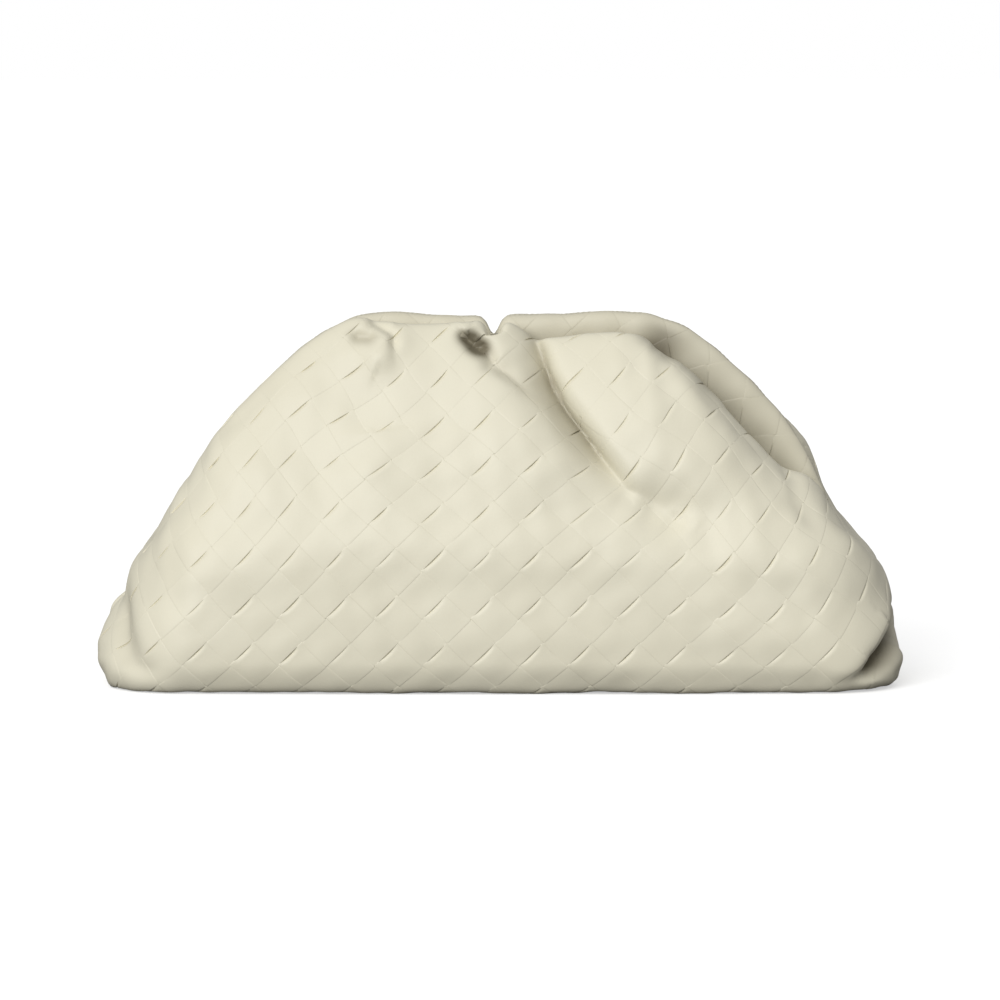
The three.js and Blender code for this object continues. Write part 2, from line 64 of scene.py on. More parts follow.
# %% [markdown]
# ## Sizes
# The wall of the bag is worked out again here, more finely than in the part's solids, from the same
# few sizes and short tables. It could be read off the solid's mesh and smoothed, but a worked-out
# surface has no facets, and it also tells where on the flat leather each of its points lies.
# Lengths are in millimetres, and a mesh is turned into metres when it is made. Only the pinch is
# narrower here than in the solids.

# %% Sizes of the bag
MM = 0.001
bag_width, bag_depth, bag_height = 390.0, 140.0, 180.5
half_width, half_depth = bag_width / 2, bag_depth / 2
wall = 2.4
lip_thickness, lip_height, lip_gap, lip_roundness = 7.0, 26.0, 0.6, 2.6
mouth_half_width, hinge_height, lip_end = 161.0, 86.0, 0.99
seat_clearance, sewn_inset, saddle = 0.3, 23.0, 22.0
pinch_at, pinch_depth, pinch_half_width = -3.0, 10.5, 3.4
gusset_depth, gusset_half_width, gusset_low, gusset_high = 9.0, 13.0, 34.0, 70.0
sewn_depth = lip_gap / 2 + lip_thickness + seat_clearance
print("Half the bag's width and depth:", half_width, half_depth, "mm")

# %% [markdown]
# ## Tables of the shape
# The mouth of the bag follows an arch, which isn't quite the same on its two sides. The sections say
# how wide, deep and high the wall is, from the middle of the base, up the outside, over the top fold
# and down to the edge that is sewn to the frame. The fold line says how far the top fold hangs
# below the frame. All of them are shares of the sizes above.

# %% Arch, sections and fold line
ARCH = dict(
    across=[0.0, 0.15, 0.33, 0.42, 0.5, 0.6, 0.7, 0.8, 0.9, 1.0],
    left=[0.975, 0.975, 0.99, 0.975, 0.92, 0.81, 0.65, 0.475, 0.235, 0.0],
    right=[0.975, 0.975, 0.995, 0.985, 0.955, 0.875, 0.73, 0.56, 0.345, 0.0],
)
SECTIONS = dict(
    station=[0.0, 0.167, 0.2, 0.232, 0.281, 0.346, 0.453, 0.582, 0.723, 0.84, 0.905, 0.947],
    left=[0.84, 0.92, 0.965, 0.975, 0.98, 0.965, 0.935, 0.917, 0.88, 0.86, 0.84, 0.785],
    right=[0.84, 0.92, 0.965, 0.985, 0.985, 0.982, 0.975, 0.955, 0.895, 0.868, 0.85, 0.81],
    deep=[0.0, 0.64, 0.8, 0.87, 0.92, 0.93, 0.92, 0.83, 0.68, 0.5, 0.34, 0.2],
    corner=[0.9, 0.62, 0.6, 0.6, 0.62, 0.66, 0.72, 0.8, 0.85, 0.88, 0.9, 0.9],
    mid=[0.0, 0.0, 0.005, 0.033, 0.09, 0.187, 0.345, 0.54, 0.745, 0.92, 1.0, 0.975],
    side=[0.0, 0.0, 0.01, 0.06, 0.15, 0.3, 0.5, 0.67, 0.78, 0.83, 0.85, 0.8],
    crown=[0.0, 0.04, 0.05, 0.06, 0.07, 0.07, 0.07, 0.06, 0.05, 0.03, 0.01, 0.0],
    sag=[0.0, 0.0, 0.0, 0.0, 0.0, 0.0, 0.05, 0.25, 0.55, 0.85, 1.0, 0.8],
)
# The last section is the sewn edge, which takes its sizes from the frame.
sewn_edge = dict(
    station=1.0,
    left=(mouth_half_width - sewn_inset) / half_width,
    right=(mouth_half_width - sewn_inset) / half_width,
    deep=sewn_depth / half_depth,
    corner=0.5,
    mid=(bag_height - sewn_inset) / bag_height,
    side=(hinge_height - saddle) / hinge_height,
    crown=0.0,
    sag=0.0,
)
for column, value in sewn_edge.items():
    SECTIONS[column].append(value)
FOLD_LINE_FRONT = dict(
    across=[-1.0, -0.92, -0.8, -0.6, -0.42, -0.33, -0.2, -0.12, -0.02, 0.04, 0.13, 0.22,
            0.41, 0.46, 0.56, 0.685, 0.8, 0.91, 1.0],
    drop=[0.0, -0.035, -0.03, -0.005, -0.003, 0.018, 0.014, 0.002, -0.002, 0.012, 0.05, 0.05,
          0.055, 0.08, 0.11, 0.145, 0.135, 0.05, 0.0],
)
FOLD_LINE_BACK = dict(
    across=[-1.0, -0.92, -0.8, -0.6, -0.3, 0.0, 0.35, 0.7, 0.88, 1.0],
    drop=[0.0, -0.03, 0.0, 0.06, 0.05, 0.06, 0.035, 0.05, -0.02, 0.0],
)
print("Sections of the wall:", len(SECTIONS["station"]))

# %% [markdown]
# ## Folds
# Each fold is a path on the wall, with a depth, a width on either flank, what is left of it at its
# two ends, how sharp it is and how far its left flank leans over it. A depth below zero is a
# swelling. A last entry says how much darker the leather inside it is painted, as painted shade.
# They could be sculpted, but a table can be read, changed and rerun.

# %% Folds of the wall
def fold(side, depth, left, right, start, end, sharp, lean, *path, dark=0.0):
    """One fold. depth is a share of half the bag's depth; left, right and lean are shares of half
    its width; path is (way round from the middle, height) points, from the top down, as shares."""
    return dict(side=side, depth=depth, left=left, right=right, start=start, end=end,
                sharp=sharp, lean=lean, path=path, dark=dark)


gather_path = ((0.088, 0.945), (0.118, 0.875), (0.136, 0.835), (0.168, 0.775), (0.216, 0.705),
               (0.262, 0.63), (0.31, 0.553))
FOLDS = [
    # The deep gather right of the middle: its slope, its crack with painted shade, and the painted shade on
    # its left flank.
    fold("front", 0.19, 0.07, 0.018, 0.8, 0.1, 1.6, 0.0, *gather_path, (0.4, 0.5)),
    fold("front", 0.07, 0.018, 0.012, 0.9, 0.0, 1.8, 0.0, *gather_path, dark=0.3),
    fold("front", 0.01, 0.045, 0.02, 0.5, 0.3, 3.0, 0.0,
         (0.096, 0.9), (0.11, 0.855), (0.142, 0.79), (0.192, 0.705), (0.242, 0.63), (0.3, 0.545),
         dark=0.42),
    # The soft dent where the gather runs out.
    fold("front", 0.05, 0.06, 0.05, 0.2, 0.0, 2.0, 0.0, (0.33, 0.53), (0.42, 0.5), (0.47, 0.44)),
    # The right bank of the gather, which hangs over it.
    fold("front", 0.0, 0.018, 0.045, 0.4, 0.2, 2.0, -0.018,
         (0.106, 0.95), (0.136, 0.882), (0.154, 0.842), (0.186, 0.782), (0.234, 0.712),
         (0.28, 0.637), (0.328, 0.56)),
    # The notch of the pinch, the curl of leather on its left, a crease, and the pocket under the curl; the
    # crease and the pocket are painted dark as shade.
    fold("front", 0.0, 0.016, 0.016, 1.0, 1.0, 1.7, -0.058, (-0.019, 0.98), (-0.012, 0.98)),
    fold("front", -0.035, 0.03, 0.03, 0.6, 0.6, 2.0, -0.014,
         (-0.11, 0.975), (-0.07, 0.972), (-0.045, 0.955)),
    fold("front", 0.1, 0.014, 0.035, 1.0, 0.1, 1.5, 0.008,
         (-0.046, 0.92), (-0.026, 0.868), (0.016, 0.847), (0.098, 0.787), dark=0.2),
    fold("front", 0.13, 0.022, 0.016, 1.0, 1.0, 2.0, 0.0, (-0.075, 0.945), (-0.06, 0.925),
         dark=1.0),
    fold("front", 0.0, 0.026, 0.022, 1.0, 1.0, 2.5, 0.0, (-0.07, 0.945), (-0.05, 0.918), dark=1.0),
    # The dimple at the top left, painted a little dark as shade, and the knob of leather beside it.
    fold("front", 0.07, 0.016, 0.02, 1.0, 1.0, 2.0, 0.0, (-0.348, 0.938), (-0.322, 0.934),
         dark=0.35),
    fold("front", -0.06, 0.045, 0.035, 1.0, 1.0, 2.0, 0.0, (-0.275, 0.93), (-0.29, 0.89)),
    fold("front", 0.06, 0.012, 0.016, 1.0, 0.2, 1.8, 0.0, (-0.31, 0.975), (-0.262, 0.94),
         (-0.262, 0.885)),
    # The pocket, the crease and the ridge of the right-hand fold; the pocket and the crease are painted
    # dark as shade.
    fold("front", 0.2, 0.028, 0.03, 0.6, 0.2, 1.8, 0.0,
         (0.375, 0.945), (0.415, 0.925), (0.46, 0.87), dark=0.7),
    fold("front", 0.05, 0.014, 0.02, 0.6, 0.2, 1.6, 0.0,
         (0.43, 0.905), (0.473, 0.857), (0.513, 0.803), (0.56, 0.74), dark=0.4),
    fold("front", -0.035, 0.04, 0.03, 0.3, 0.2, 2.0, 0.0,
         (0.4, 0.88), (0.44, 0.83), (0.48, 0.77), (0.54, 0.69)),
    # Billows beside the gather, and the wide hollows.
    fold("front", -0.06, 0.12, 0.14, 0.7, 0.2, 2.0, 0.0, (0.33, 0.86), (0.45, 0.66), (0.6, 0.5)),
    fold("front", -0.05, 0.12, 0.07, 0.5, 0.1, 2.0, 0.0, (0.03, 0.79), (0.12, 0.65), (0.18, 0.5)),
    fold("front", 0.05, 0.1, 0.1, 0.4, 0.0, 2.0, 0.0, (0.3, 0.5), (0.45, 0.45), (0.62, 0.43)),
    fold("front", 0.045, 0.12, 0.1, 0.2, 0.0, 2.0, 0.0, (-0.3, 0.85), (-0.42, 0.68), (-0.3, 0.58)),
    # The front's folds over the two bottom corners, their valleys painted dark as shade, and the ears of
    # leather beyond them.
    fold("front", 0.2, 0.03, 0.036, 0.2, 0.8, 1.6, 0.0,
         (1.13, 0.195), (1.03, 0.165), (0.93, 0.09), (0.9, 0.03), dark=0.9),
    fold("front", 0.0, 0.03, 0.05, 0.3, 0.8, 2.0, 0.0,
         (1.1, 0.19), (1.045, 0.165), (0.96, 0.09), (0.92, 0.03), dark=0.55),
    fold("front", -0.03, 0.05, 0.03, 0.2, 0.6, 2.0, 0.02,
         (1.06, 0.235), (0.97, 0.195), (0.89, 0.11), (0.86, 0.05)),
    fold("front", -0.04, 0.06, 0.07, 0.5, 0.8, 2.0, 0.0, (1.08, 0.11), (1.03, 0.04)),
    fold("front", 0.07, 0.04, 0.045, 0.2, 0.6, 1.8, 0.0,
         (-1.05, 0.24), (-0.995, 0.19), (-0.945, 0.11), (-0.88, 0.05), dark=0.15),
    fold("front", -0.07, 0.08, 0.08, 0.9, 0.6, 2.0, 0.0, (-1.15, 0.18), (-1.12, 0.07)),
    # Gathers of the back.
    fold("back", 0.17, 0.06, 0.05, 0.7, 0.1, 1.7, 0.01,
         (-0.15, 0.93), (-0.22, 0.8), (-0.32, 0.64), (-0.36, 0.54)),
    fold("back", 0.14, 0.05, 0.06, 0.8, 0.1, 1.7, 0.0, (0.22, 0.93), (0.3, 0.82), (0.36, 0.68)),
    fold("back", 0.09, 0.04, 0.04, 0.9, 0.1, 1.7, 0.0, (0.03, 0.93), (0.04, 0.84), (0.02, 0.76)),
    fold("back", -0.05, 0.14, 0.14, 0.7, 0.2, 2.0, 0.0, (0.1, 0.84), (0.14, 0.6)),
    # The back's folds over the two bottom corners, and their ears.
    fold("back", 0.14, 0.05, 0.045, 0.3, 0.6, 1.8, 0.0, (1.05, 0.22), (0.97, 0.15), (0.91, 0.05)),
    fold("back", -0.03, 0.07, 0.07, 0.5, 0.8, 2.0, 0.0, (1.13, 0.2), (1.1, 0.07)),
    fold("back", 0.14, 0.045, 0.05, 0.3, 0.6, 1.8, 0.0,
         (-1.05, 0.22), (-0.97, 0.15), (-0.91, 0.05)),
    fold("back", -0.07, 0.08, 0.08, 0.9, 0.6, 2.0, 0.0, (-1.15, 0.18), (-1.12, 0.07)),
]
# Folds fade out towards the base, which stays flat, and towards the seams and the sewn edge.
fold_free_height, fold_full_height = 4.0, 14.0
folds_fade_from = 0.93
print("Folds and swellings:", len(FOLDS))

# %% [markdown]
# ## Smooth curves through the tables
# Between two rows of a table the value follows a cubic that never swings past either row, so a
# section can't bulge where no row asks for it.

# %% Curve through a table's rows
def through_rows(table, key, value, t):
    """The table's value at t, by a monotone cubic."""
    xs, ys = np.array(table[key]), np.array(table[value])
    slope = np.diff(ys) / np.diff(xs)
    before, after = np.concatenate([slope[:1], slope]), np.concatenate([slope, slope[-1:]])
    same_way = before * after > 0
    tangent = np.where(same_way, 2 * before * after / np.where(same_way, before + after, 1), 0)
    t = np.asarray(t, float)
    i = np.clip(np.searchsorted(xs, t, "left") - 1, 0, len(xs) - 2)
    h = xs[i + 1] - xs[i]
    u = np.clip((t - xs[i]) / h, 0, 1)
    return (ys[i] * (2 * u**3 - 3 * u**2 + 1) + tangent[i] * h * (u**3 - 2 * u**2 + u)
            + ys[i + 1] * (3 * u**2 - 2 * u**3) + tangent[i + 1] * h * (u**3 - u**2))


def section(name, station):
    return through_rows(SECTIONS, "station", name, station)


def smooth_step(low, high, t):
    u = np.clip((t - low) / (high - low), 0, 1)
    return u * u * (3 - 2 * u)


def unit(ways):
    """The same ways, each of length one."""
    return ways / np.maximum(np.linalg.norm(ways, axis=-1, keepdims=True), 1e-9)


def arch_rise(across):
    size = np.minimum(np.abs(across), 1)
    return np.where(across < 0, through_rows(ARCH, "across", "left", size),
                    through_rows(ARCH, "across", "right", size))


def arch_height(across, inset):
    low, high = hinge_height - 0.55 * inset, bag_height - inset
    return low + (high - low) * arch_rise(across)


print("Height of the arch in its middle:", round(float(arch_height(0.0, 0.0)), 1), "mm")

# %% [markdown]
# ## The wall without its folds
# Seen from above, each section is flat at the front, turns a round corner and runs to the side seam.
# A point of the wall is named by how far along its section it lies, from the left seam at -1 to the
# right seam at 1, and by its station.

# %% Plain wall
crown_fade = 0.25


def section_length(along, station):
    """Way round from the middle of the front to the seam, in mm."""
    side = np.where(along < 0, section("left", station), section("right", station)) * half_width
    deep = section("deep", station) * half_depth
    corner = section("corner", station) * deep
    return side - corner + math.pi / 2 * corner + deep - corner, side, deep, corner


def plain_wall(along, station, front):
    """Points of the wall before its folds are pressed in, and how far round they are, in mm."""
    length, side, deep, corner = section_length(along, station)
    s = np.abs(along) * length
    straight = side - corner
    angle = np.clip((s - straight) / np.maximum(corner, 1e-6), 0, math.pi / 2)
    turned = s > straight
    x = np.where(turned, straight + corner * np.sin(angle), s)
    y = np.where(turned, deep - corner + corner * np.cos(angle), deep)
    y = np.where(s > straight + math.pi / 2 * corner, np.maximum(length - s, 0), y)
    x, around = np.sign(along) * x, np.sign(along) * s
    share = x / side
    low = section("side", station) * hinge_height
    high = section("mid", station) * bag_height
    hang = np.where(front, through_rows(FOLD_LINE_FRONT, "across", "drop", share),
                    through_rows(FOLD_LINE_BACK, "across", "drop", share))
    drop = hang * bag_height * section("sag", station)
    seam_fade = smooth_step(0, crown_fade, y / np.maximum(deep, 1e-6))
    swell = section("crown", station) * half_depth
    swell = swell * (1 - share**2) * seam_fade
    z = low + (high - low) * arch_rise(share) - drop
    return np.stack([x, np.where(front, -1, 1) * (y + swell), z], -1), around


print("Way round half the bag at its base:",
      round(float(section_length(np.array(1.0), np.array(0.281))[0]), 1), "mm")

# %% [markdown]
# ## Pressing the folds in
# A point near a fold's path moves into the bag, less the farther it is from the path, and leans to
# the side. It can't be pressed in past the frame.

# %% Folded wall
# Between these stations a fold turns from pressing square into the wall to pressing level towards
# the frame, and a little down.
top_fold_from, top_fold_to, top_fold_sinks = 0.74, 0.86, 0.3
# Ways along the section between which the side gusset tucks in.
gusset_from, gusset_full = 0.6, 0.85


def fold_move(one, around, z):
    """How near the fold points lie, from 0 to 1, and how far it leans them, in mm."""
    points = np.array(one["path"]) * [half_width, bag_height]
    nearest = np.full(around.shape, np.inf)
    cross, place = np.zeros(around.shape), np.zeros(around.shape)
    over = np.zeros(around.shape + (2,))
    for i in range(len(points) - 1):
        step = points[i + 1] - points[i]
        to_x, to_z = around - points[i][0], z - points[i][1]
        u = np.clip((to_x * step[0] + to_z * step[1]) / (step @ step), 0, 1)
        distance = np.hypot(to_x - step[0] * u, to_z - step[1] * u)
        closer = distance < nearest
        nearest = np.where(closer, distance, nearest)
        cross = np.where(closer, step[0] * to_z - step[1] * to_x, cross)
        place = np.where(closer, (i + u) / (len(points) - 1), place)
        over[closer] = np.array([-step[1], step[0]]) / math.hypot(*step)
    width = np.where(cross > 0, one["right"], one["left"]) * half_width
    start, end = one["start"], one["end"]
    ends = (start + (1 - start) * smooth_step(0, 0.3, place)) * (
        end + (1 - end) * smooth_step(0, 0.4, 1 - place))
    near = ends * np.exp(-((nearest / width) ** one["sharp"]))
    return near, over * (one["lean"] * half_width * near)[..., None]


def wall_point(along, station, front, inset):
    """Points of the folded wall, inset below its outer face, the plain wall's outward way, and
    from 0 to 1 how much painted shade a fold puts on the leather there."""
    here, around = plain_wall(along, station, front)
    step = 0.002
    # Differences of nearby points give the two slopes of the wall, and so the way out of it.
    plain = lambda a, s: plain_wall(np.clip(a, -1, 1), np.clip(s, 0, 1), front)[0]
    out = np.cross(plain(along + step, station) - plain(along - step, station),
                   plain(along, station + step) - plain(along, station - step))
    out = np.where(front[..., None], unit(out), -unit(out))
    out = np.where((station <= 0)[..., None], np.array([0.0, 0.0, -1.0]), out)
    at_seam = np.abs(along) >= 1
    out = np.where(at_seam[..., None], unit(out * [1, 0, 1]), out)
    fold_share = smooth_step(fold_free_height, fold_full_height, here[..., 2]) * (
        1 - smooth_step(folds_fade_from, 1, station))
    room = np.hypot(np.maximum(np.abs(here[..., 1]) - sewn_depth - wall, 0.1),
                    np.maximum(np.abs(here[..., 0]) - mouth_half_width + sewn_inset / 2, 0))
    seam_share = 1 - smooth_step(folds_fade_from, 1, np.abs(along))
    press, lean = np.zeros(around.shape), np.zeros(around.shape + (2,))
    painted_shade = np.zeros(around.shape)
    for one in FOLDS:
        mine = front if one["side"] == "front" else ~front
        near, leaned = fold_move(one, around, here[..., 2])
        share = np.where(mine, fold_share, 0)
        press += one["depth"] * half_depth * near * share * (1 if one["depth"] < 0 else seam_share)
        lean += leaned * share[..., None]
        # Painted shade: each fold darkens the leather inside it by its own amount.
        painted_shade += one["dark"] * near * share
    middle = (gusset_low + gusset_high) / 2
    tuck = (gusset_depth * np.exp(-((here[..., 1] / gusset_half_width) ** 2))
            * smooth_step(gusset_low, middle, here[..., 2])
            * (1 - smooth_step(middle, gusset_high, here[..., 2])))
    here = here.copy()
    tuck = tuck * smooth_step(gusset_from, gusset_full, np.abs(along))
    here[..., 0] += lean[..., 0] - np.sign(along) * tuck
    here[..., 2] += lean[..., 1]
    press = np.where(press > 0, room * (1 - np.exp(-np.maximum(press, 0) / room)), press)
    painted_shade = np.clip(painted_shade, 0, 1)
    back = np.stack([np.zeros(around.shape), np.where(front, 1.0, -1.0),
                     np.full(around.shape, -top_fold_sinks)], -1)
    top = smooth_step(top_fold_from, top_fold_to, station)[..., None]
    inward = -out * (1 - top) + back * top
    return here + inward * press[..., None] - out * np.asarray(inset)[..., None], out, painted_shade


spot, _, _ = wall_point(np.array([0.0]), np.array([0.346]), np.array([True]), 0.0)
print("A point low on the front, in mm:", spot.round(1).tolist())

# %% [markdown]
# ## A small helper that makes a mesh
# Every piece here is a list of points and a list of quads, so one function turns them into an object.

# %% Mesh from points and quads
def put_in_scene(name, data):
    """An object with that mesh, lamp or camera."""
    made = bpy.data.objects.new(name, data)
    bpy.context.scene.collection.objects.link(made)
    return made


def add_piece(name, points_mm, quads, material=None, attributes=None):
    """A smooth-shaded mesh object from points in mm."""
    mesh = bpy.data.meshes.new(name)
    points = np.asarray(points_mm, np.float32).reshape(-1, 3) * MM
    quads = np.asarray(quads, np.int32).reshape(-1, 4)
    mesh.vertices.add(len(points))
    mesh.vertices.foreach_set("co", points.ravel())
    mesh.loops.add(quads.size)
    mesh.loops.foreach_set("vertex_index", quads.ravel())
    mesh.polygons.add(len(quads))
    mesh.polygons.foreach_set("loop_start", np.arange(0, quads.size, 4, dtype=np.int32))
    mesh.polygons.foreach_set("use_smooth", np.ones(len(quads), bool))
    mesh.update(calc_edges=True)
    mesh.validate()
    for key, values in (attributes or {}).items():
        layer = mesh.attributes.new(key, "FLOAT", "POINT")
        layer.data.foreach_set("value", np.asarray(values, np.float32).ravel())
    piece = put_in_scene(name, mesh)
    if material:
        mesh.materials.append(material)
    print(name, "has", len(points), "points and", len(quads), "quads")
    return piece


def grid_quads(rows, columns, closed=False):
    """Quads of a grid of points with that many rows and columns."""
    last = columns if closed else columns - 1
    r, c = np.meshgrid(np.arange(rows - 1), np.arange(last), indexing="ij")
    a = r * columns + c
    b = r * columns + (c + 1) % columns
    return np.stack([a, b, b + columns, a + columns], -1).reshape(-1, 4)


print("A grid of 3 by 3 points has", len(grid_quads(3, 3)), "quads")

# %% [markdown]
# ## Helpers for materials
# Colours are picked as sRGB hex values, as on a paint chart, and Blender's nodes want them linear, so
# one function turns them. Another adds a node with its settings and links in one line. Nodes could
# also be wired by hand in the shader editor, but written out they can be read and rerun.

# %% Colour and node helpers
def linear(hex_colour):
    """A linear colour from sRGB hex."""
    srgb = [int(hex_colour[i:i + 2], 16) / 255 for i in (1, 3, 5)]
    return tuple(c / 12.92 if c <= 0.04045 else ((c + 0.055) / 1.055) ** 2.4 for c in srgb) + (1.0,)


def node(tree, kind, settings=None, **links):
    """Adds a node with its settings; links gives each input a value or another node's output."""
    made = tree.nodes.new(kind)
    for key, value in (settings or {}).items():
        setattr(made, key, value)
    for key, value in links.items():
        name = key.replace("_", " ")
        socket = made.inputs[int(name[5:])] if name.startswith("input") else made.inputs[name]
        if isinstance(value, bpy.types.NodeSocket):
            tree.links.new(value, socket)
        else:
            socket.default_value = value
    return made


print("Mid grey, linear:", round(linear("#808080")[0], 3))

# %% [markdown]
# ## Leather
# The strips are nappa: lambskin, tanned and dyed through, with a fine smooth grain and a soft, nearly
# matt finish. Its colour is an off-white, a little yellow. Each strip was cut from another place of
# the skin, so each has its own slight tint, and the cut edges show the paler, rougher fibres. The
# backing behind them is split leather, the rough lower layer of a hide, coloured darker than the
# strips, also as painted shade in the slits. A photographed texture could give the grain, but
# worked-out noise has no seams and no edge, however close one looks.

# %% Nappa leather
# The dark colour that paints shade into the folds and onto the lips.
painted_shade_colour = "#7B7461"


def nappa(name, face_hex, edge_hex, shade_hex, painted_shade_hex, roughness):
    """Leather of four colours: its face, its cut edge, its darker patches, and a dark colour for painted
    shade.
    """
    material = bpy.data.materials.new(name)
    material.use_nodes = True
    tree = material.node_tree
    shader = tree.nodes["Principled BSDF"]
    shader.inputs["Roughness"].default_value = roughness
    shader.inputs["IOR"].default_value = 1.46
    place = node(tree, "ShaderNodeTexCoord").outputs["Object"]
    # The skin's grain: cells about 0.9 mm across, drawn a little coarser than nappa's.
    grain = node(tree, "ShaderNodeTexVoronoi", dict(feature="SMOOTH_F1"), Vector=place,
                 Scale=1 / (0.9 * MM), Smoothness=0.6)
    # Soft unevenness of the hide, about 9 mm across.
    soft = node(tree, "ShaderNodeTexNoise", Vector=place, Scale=1 / (9 * MM), Detail=3.0)
    # Slow drift of the dye over the whole bag, about 60 mm across.
    drift = node(tree, "ShaderNodeTexNoise", Vector=place, Scale=1 / (60 * MM), Detail=2.0)
    tint = node(tree, "ShaderNodeAttribute", dict(attribute_name="tint")).outputs["Fac"]
    edge = node(tree, "ShaderNodeAttribute", dict(attribute_name="cut_edge")).outputs["Fac"]
    shade = node(tree, "ShaderNodeMix", dict(data_type="RGBA"), input6=linear(face_hex),
                 input7=linear(shade_hex))
    # The drift runs from about 0.3 to 0.7, which this turns to a share of the shade.
    amount = node(tree, "ShaderNodeMath", dict(operation="MULTIPLY_ADD"), input0=drift.outputs["Fac"],
                  input1=0.6, input2=-0.1)
    amount = node(tree, "ShaderNodeMath", dict(operation="ADD", use_clamp=True),
                  input0=amount.outputs[0], input1=tint)
    tree.links.new(amount.outputs[0], shade.inputs[0])
    cut = node(tree, "ShaderNodeMix", dict(data_type="RGBA"), input0=edge,
               input6=shade.outputs[2], input7=linear(edge_hex))
    # Painted shade: leather deep in a fold, and down the lips, is mixed towards a dark colour.
    painted_shade = node(tree, "ShaderNodeAttribute", dict(attribute_name="painted_shade")).outputs["Fac"]
    colour = node(tree, "ShaderNodeMix", dict(data_type="RGBA"), input0=painted_shade,
                  input6=cut.outputs[2], input7=linear(painted_shade_hex))
    tree.links.new(colour.outputs[2], shader.inputs["Base Color"])
    swell = node(tree, "ShaderNodeBump", Strength=0.5, Distance=0.25 * MM,
                 Height=soft.outputs["Fac"])
    bump = node(tree, "ShaderNodeBump", Strength=0.35, Distance=0.05 * MM,
                Height=grain.outputs["Distance"], Normal=swell.outputs["Normal"])
    tree.links.new(bump.outputs["Normal"], shader.inputs["Normal"])
    return material


strip_leather = nappa("off_white_nappa", "#E6E1CC", "#EFEADA", "#DAD4BD", painted_shade_colour, 0.5)
# The backing is a duller split leather, and is darker still as painted shade in the slits and in the gaps
# of the lips.
backing_leather_and_slit_shade = nappa("backing_split_leather", "#CFC8B2", "#DAD4BF", "#BDB69F",
                        painted_shade_colour, 0.75)
print("Materials:", strip_leather.name, backing_leather_and_slit_shade.name)

# %% [markdown]
# ## From the flat leather to the bag
# The strips are woven flat, and the woven leather is then shaped into the bag. So each strip is laid
# out on the flat first: u runs round the bag from the middle of the front, v runs from the middle of
# the base up the wall. v is counted below zero up the back, so that the weave runs on under the base.
# A table of v for every point of the wall, turned round, says where on the bag a flat point goes.
# Unwrapping the mesh could do this too, but then the weave wouldn't line up with the base.

# %% Flat leather coordinates
edge_station, fattest_station = 0.2, 0.281
base_length = float(section_length(np.array(1.0), np.array(fattest_station))[0])
# How much of the width that the bag loses towards its mouth is gathered and not cut away.
gathered, gather_from, gather_full = 0.65, 0.2, 0.35
flat_alongs, flat_stations = np.linspace(-1, 1, 161), np.linspace(0, 1, 501)
middle_row = len(flat_alongs) // 2
least_rise = 0.6
guessed_length, newton_steps = 200.0, 14


def extra_width(length, station):
    """How much wider the flat leather is than the bag there, as a share of the bag."""
    share = gathered * smooth_step(gather_from, gather_full, station)
    return share * np.maximum(base_length - length, 0) / length


def flat_table(front):
    """Height v on the flat leather of each point of one side of the wall, in mm."""
    a, s = np.meshgrid(flat_alongs, flat_stations, indexing="ij")
    points, around = plain_wall(a, s, np.full(a.shape, front))
    u = around * (1 + extra_width(section_length(a, s)[0], s) * a**2)
    step = np.linalg.norm(np.diff(points, axis=1), axis=-1)
    sideways = np.diff(u, axis=1)
    rise = np.sqrt(np.maximum(step**2 - sideways**2, (least_rise * step) ** 2))
    rise = np.where(flat_stations[1:] <= edge_station, rise[middle_row], rise)
    return np.concatenate([np.zeros((len(flat_alongs), 1)), np.cumsum(rise, axis=1)], axis=1)


class FlatSide:
    """One side of the bag, front or back, looked up by its flat coordinates."""

    def __init__(self, front):
        table = flat_table(front)
        self.top = table[:, -1]
        self.heights = np.linspace(0, table.max(), 601)
        self.stations = np.stack([np.interp(self.heights, row, flat_stations) for row in table])

    def find(self, u, v):
        """Way along and station of flat points, and how far they lie past the seam and the top."""
        along = np.clip(u / guessed_length, -1, 1)
        # Newton's steps, until the way along gives the u that is asked for.
        for _ in range(newton_steps):
            i = np.clip((along + 1) / 2 * (len(flat_alongs) - 1), 0, len(flat_alongs) - 1.001)
            k = np.clip(v / self.heights[-1] * (len(self.heights) - 1), 0, len(self.heights) - 1.001)
            i0, k0 = i.astype(int), k.astype(int)
            to_i, to_k = i - i0, k - k0
            t = self.stations
            station = ((t[i0, k0] * (1 - to_i) + t[i0 + 1, k0] * to_i) * (1 - to_k)
                       + (t[i0, k0 + 1] * (1 - to_i) + t[i0 + 1, k0 + 1] * to_i) * to_k)
            length = section_length(u, station)[0]
            extra = extra_width(length, station)
            off = along * (1 + extra * along**2) - u / length
            along = np.clip(along - off / (1 + 3 * extra * along**2), -1, 1)
        past_seam = np.abs(u) - length * (1 + extra)
        return along, station, past_seam, v - np.interp(along, flat_alongs, self.top)


flat_front, flat_back = FlatSide(True), FlatSide(False)
print("The leather reaches", round(float(flat_front.top[middle_row]), 1), "mm up the front")

# %% [markdown]
# ## Where the weave turns
# The gathers pull at the leather beside them, so the strips there don't run at 45 degrees any more.
# Each row of this table turns the weave round one place of the flat leather.

# %% Turned places of the weave
TURNS = dict(
    u=[-75.0, 78.0, 150.0],
    v=[200.0, 185.0, 120.0],
    reach=[45.0, 36.0, 40.0],
    degrees=[-16.0, 16.0, 12.0],
)


